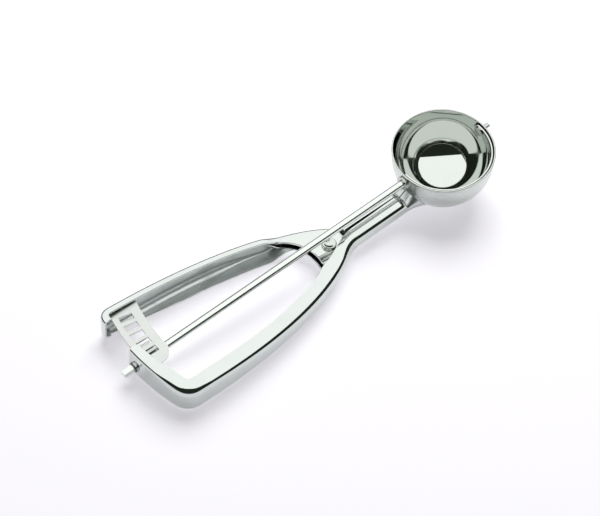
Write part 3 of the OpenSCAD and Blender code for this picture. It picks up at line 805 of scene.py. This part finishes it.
# ---- Rack plate ----
# A curved strip punched with a row of windows and welded under the lever's top flange. It is tumbled
# after punching, so it is matte, with soft bright edges.

rack_steel = steel("rack_tumbled_steel", (0.60, 0.62, 0.60), (0.55, 0.57, 0.55), 0.3, 0.42,
                   fineness=1500.0, grain_depth=0.000012, mark_amount=0.4)
finish_nodes(rack_steel, "rack_plate")

# ---- Drive rod, pinion and what fastens them ----
# The rod is bright drawn bar with a square tail. The pinion is sintered steel, held by a cross pin, and
# a spring ring and a washer keep the rod in its flanged bush.

rod_steel = steel("rod_drawn_steel", (0.68, 0.71, 0.68), (0.62, 0.65, 0.62), 0.05, 0.1,
                  stretch=(1, 16, 16), fineness=500.0, grain_depth=0.000002)
pinion_steel = steel("pinion_sintered_steel", (0.5, 0.52, 0.5), (0.42, 0.44, 0.42), 0.24, 0.4,
                     fineness=2600.0, grain_depth=0.00002)
spring_steel = steel("spring_dark_steel", (0.16, 0.17, 0.16), (0.1, 0.11, 0.1), 0.25, 0.4,
                     fineness=1200.0, grain_depth=0.000005)
finish_nodes(rod_steel, "drive_rod")
finish_nodes(pinion_steel, "pinion")
finish_nodes(turned_steel, "pinion_pin", "thrust_washer")
finish_nodes(handle_satin, "rear_bush")

rod_radius = 2.0
bush_flange_radius = bush_radius + 1.2
clip_clearance = 0.2
clip_place = -rod_span / math.cos(rod_tilt) - bush_flange_radius * math.tan(rod_tilt) - clip_clearance
clip_thickness = 0.5
clip_outside = 2.6
clip_inside = rod_radius + joint_gap
clip_edge = 0.1
clip_opening = 17
clip_steps = 80

# The ring's inner face has two points more, so that its section's two sides pair up across its ends
clip_split = (0.25, 0.3)
clip_section = [(clip_inside, clip_split[0]), (clip_inside, clip_edge), (clip_inside + clip_edge, 0),
                (clip_outside - clip_edge, 0), (clip_outside, clip_edge),
                (clip_outside, clip_thickness - clip_edge), (clip_outside - clip_edge, clip_thickness),
                (clip_inside + clip_edge, clip_thickness), (clip_inside, clip_thickness - clip_edge),
                (clip_inside, clip_split[1])]
clip_turns = [math.radians(clip_opening + (360 - 2 * clip_opening) * i / clip_steps)
              for i in range(clip_steps + 1)]
clip_rings = [[tuple(from_rod((clip_place - w, r * math.cos(a), r * math.sin(a)))) for r, w in clip_section]
              for a in clip_turns]
points, faces = skinned(clip_rings)
solid("retaining_ring", points, faces, "drive", "retaining_clip", spring_steel)

# ---- Pivot ----
# A shouldered rivet with a dished round head holds the two handles, over stamped washers and a spacing
# sleeve. A torsion spring of dull wire is wound round the sleeve.

rivet_steel = steel("rivet_formed_steel", (0.6, 0.63, 0.6), (0.5, 0.53, 0.5), 0.12, 0.22,
                    fineness=1300.0, grain_depth=0.000006)
finish_nodes(turned_steel, "pivot_tail_washer")
finish_nodes(bush_steel, "pivot_thrust_washer", "pivot_sleeve")

shank_radius = 2.0
head_radius = 3.7
head_height = 1.6
head_edge = 0.55
head_foot = 0.2
head_gap = 0.05
dish_radius = head_radius - head_edge
dish_depth = 0.75
dish_margin = 0.05
dish_power = 1.3
dish_steps = 14
tail_height = 0.8
tail_flare = 0.5
tail_edge = 0.3
tail_gap = 0.04
rivet_steps = 96
near_axis = 0.001
head_seat = eye_top + head_gap
tail_top = floor_top - plate - tail_gap - washer_thickness
dish = [(r, head_seat + head_height - dish_depth * (1 - (r / dish_radius) ** 2) ** dish_power)
        for r in (near_axis + (dish_radius - dish_margin) * k / dish_steps for k in range(dish_steps + 1))]
rivet_profile = (dish
                 + arc_points((dish_radius, head_seat + head_height - head_edge), head_edge, 85, 0, 8)
                 + arc_points((head_radius - head_foot, head_seat + head_foot), head_foot, 0, -90, 4)
                 + [(shank_radius, head_seat), (shank_radius, tail_top)]
                 + arc_points((shank_radius + tail_flare, tail_top - tail_edge), tail_edge, 90, 0, 5)
                 + arc_points((shank_radius + tail_flare, tail_top - tail_height + tail_edge), tail_edge,
                              0, -90, 5)
                 + [(near_axis, tail_top - tail_height)])
points = [(pivot_x + r * math.cos(a), r * math.sin(a), z)
          for a in (2 * math.pi * i / rivet_steps for i in range(rivet_steps)) for r, z in rivet_profile]
faces = loops_to_faces(rivet_steps, len(rivet_profile), closed_along=True)
solid("pivot_rivet_body", points, faces, "frame", "pivot_rivet", rivet_steel)

# The spring's wire: a leg on each handle's web, and the coil between the eye's plates
wire_radius = 0.35
wire_sides = 12
coil_radius = 4.2
coil_gap = 0.1
coil_steps = 120
leg_back = 15.0
leg_steps = 30
web_lean = 1.2
web_clearance = 0.2
coil_floor = sole_eye + plate + wire_radius + coil_gap
coil_rise = eye_top - plate - (sole_eye + plate) - 2 * wire_radius - 2 * coil_gap
web_gap = web_lean * (sheet + wire_radius) + web_clearance


def web_beside_pivot(path):
    """How far to the side a handle's web stands where the spring's foot lies on it."""
    ahead_of = [p for p in path if p[0] > pivot_x - 2 * leg_back]
    return float(np.interp(pivot_x - leg_back, [p[0] for p in ahead_of], [p[1] for p in ahead_of]))


lever_foot = (-leg_back, web_beside_pivot(lever_path) - web_gap)
fixed_foot = (-leg_back, web_beside_pivot(arm_path) + web_gap)


def tangent_turn(foot):
    """The angle at the coil's middle between a foot and the point where its leg leaves the coil."""
    return math.acos(coil_radius / math.hypot(*foot))


first_turn = math.atan2(fixed_foot[1], fixed_foot[0]) + tangent_turn(fixed_foot)
last_turn = math.atan2(lever_foot[1], lever_foot[0]) - tangent_turn(lever_foot) + 2 * math.pi
coil = [(coil_radius * math.cos(first_turn + (last_turn - first_turn) * t),
         coil_radius * math.sin(first_turn + (last_turn - first_turn) * t), coil_floor + coil_rise * t)
        for t in (i / coil_steps for i in range(coil_steps + 1))]


def leg(start, end, z):
    """A straight leg from its foot to the coil, without the coil's own point."""
    return [(start[0] + (end[0] - start[0]) * k / leg_steps,
             start[1] + (end[1] - start[1]) * k / leg_steps, z) for k in range(leg_steps)]


wire_line = np.array(leg(fixed_foot, coil[0], coil_floor) + coil
                     + leg(lever_foot, coil[-1], coil_floor + coil_rise)[::-1])
along = np.gradient(wire_line, axis=0)
along /= np.linalg.norm(along, axis=1)[:, None]
sideways = np.cross(along, [0, 0, 1])
sideways /= np.linalg.norm(sideways, axis=1)[:, None]
upward = np.cross(sideways, along)
wire_turns = [2 * math.pi * j / wire_sides for j in range(wire_sides)]
points = [(pivot_x + q[0], q[1], q[2]) for p, u, v in zip(wire_line, sideways, upward)
          for q in (p + wire_radius * (math.cos(a) * u + math.sin(a) * v) for a in wire_turns)]
faces = loops_to_faces(len(wire_line), wire_sides)
wire_end = (len(wire_line) - 1) * wire_sides
faces += [tuple(range(wire_sides)), tuple(wire_end + j for j in reversed(range(wire_sides)))]
spring = solid("return_spring_wire", points, faces, None, None, spring_steel)
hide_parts("return_spring")
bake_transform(spring)

# ---- Studio ----
# A pale paper floor in a dark room, with two large soft lamps above and behind the scoop. One is seen
# only in the steel, and the other lights only the floor, where it leaves the scoop's shadow.

camera_data = bpy.data.cameras.new("camera")
camera = bpy.data.objects.new("camera", camera_data)
bpy.context.scene.collection.objects.link(camera)
bpy.context.scene.camera = camera
view_right = Vector((0.76686887, -0.63823865, 0.06755419)).normalized()
view_forward = Vector((0.43321462, 0.4370968, -0.78820776)).normalized()
view_up = view_right.cross(view_forward)
view_place = (-503.18, -415.16, 762.13)
view_pixels = 600
lens_pixels = 1970.4733
turn = Matrix((view_right, view_up, -view_forward)).transposed().to_4x4()
camera.matrix_world = Matrix.Translation(in_row_frame(view_place)) @ turn
camera_data.sensor_fit = "HORIZONTAL"
camera_data.sensor_width = 36.0
camera_data.lens = lens_pixels / view_pixels * camera_data.sensor_width
camera_data.clip_start = 0.01

floor_mesh = bpy.data.meshes.new("floor")
floor_half = 1.6
floor_mesh.from_pydata([(-floor_half, -floor_half, 0), (floor_half, -floor_half, 0),
                        (floor_half, floor_half, 0), (-floor_half, floor_half, 0)], [], [(0, 1, 2, 3)])
floor = bpy.data.objects.new("floor", floor_mesh)
bpy.context.scene.collection.objects.link(floor)

# The paper glows, but only as the camera and the steel see it
floor_paint = bpy.data.materials.new("floor_paper")
floor_paint.use_nodes = True
tree = floor_paint.node_tree
tree.nodes.clear()
out = tree.nodes.new("ShaderNodeOutputMaterial")
paper = node(tree, "ShaderNodeBsdfDiffuse", Color=(0.93, 0.92, 0.96, 1))
glow = node(tree, "ShaderNodeEmission", Color=(0.97, 0.94, 1.0, 1), Strength=0.5)
both = node(tree, "ShaderNodeAddShader", links=[(0, paper.outputs[0]), (1, glow.outputs[0])])
ray = node(tree, "ShaderNodeLightPath")
seen = node(tree, "ShaderNodeMath", operation="MAXIMUM",
            links=[(0, ray.outputs["Is Camera Ray"]), (1, ray.outputs["Is Glossy Ray"])])
mixed = node(tree, "ShaderNodeMixShader",
             links=[(0, seen.outputs[0]), (1, paper.outputs[0]), (2, both.outputs[0])])
tree.links.new(mixed.outputs[0], out.inputs["Surface"])
floor_mesh.materials.append(floor_paint)

# The room is nearly black to everything but the camera, which sees white
world = bpy.data.worlds.new("studio")
bpy.context.scene.world = world
world.use_nodes = True
tree = world.node_tree
tree.nodes.clear()
out = tree.nodes.new("ShaderNodeOutputWorld")
room = node(tree, "ShaderNodeBackground", Color=(0.020, 0.026, 0.018, 1), Strength=1.0)
white = node(tree, "ShaderNodeBackground", Color=(1, 1, 1, 1), Strength=1.0)
ray = node(tree, "ShaderNodeLightPath")
mixed = node(tree, "ShaderNodeMixShader",
             links=[(0, ray.outputs["Is Camera Ray"]), (1, room.outputs[0]), (2, white.outputs[0])])
tree.links.new(mixed.outputs[0], out.inputs["Surface"])


def soft_light(name, centre, right, up, width, depth, radiance, in_mirrors):
    """A flat soft light for either the steel, which mirrors it, or the floor."""
    data = bpy.data.lights.new(name, "AREA")
    data.shape = "RECTANGLE"
    data.size, data.size_y = width, depth
    data.energy = radiance * math.pi * width * depth
    lamp = bpy.data.objects.new(name, data)
    bpy.context.scene.collection.objects.link(lamp)
    facing = right.cross(up)
    lamp.matrix_world = (Matrix.Translation(centre)
                         @ Matrix((right, up, facing)).transposed().to_4x4())
    lamp.visible_camera = False
    lamp.visible_glossy = in_mirrors
    lamp.visible_diffuse = not in_mirrors


behind = Vector((view_forward.x, view_forward.y, 0)).normalized()
beside = Vector((behind.y, -behind.x, 0))
lamp_turn = math.radians(13.5)
lamp_height = 0.95
lamp_radiance = 1.3
near_edge = -0.72
far_edge = 2.1
left_edge = -1.7
right_edge = 1.2
ahead = behind.copy()
ahead.rotate(Matrix.Rotation(lamp_turn, 3, "Z"))
across = Vector((ahead.y, -ahead.x, 0))
softbox_place = (ahead * (near_edge + far_edge) / 2 + across * (left_edge + right_edge) / 2
                 + Vector((0, 0, lamp_height)))
soft_light("overhead_softbox", softbox_place, across, ahead, right_edge - left_edge,
           far_edge - near_edge, lamp_radiance, in_mirrors=True)

key_back = 0.7
key_height = 1.05
key_width = 1.0
key_radiance = 4.2
key_place = behind * key_back + Vector((0, 0, key_height))
key_facing = key_place.normalized()
soft_light("key_softbox", key_place, beside, key_facing.cross(beside), key_width, key_width,
           key_radiance, in_mirrors=False)

scene = bpy.context.scene
scene.view_settings.view_transform = "Standard"
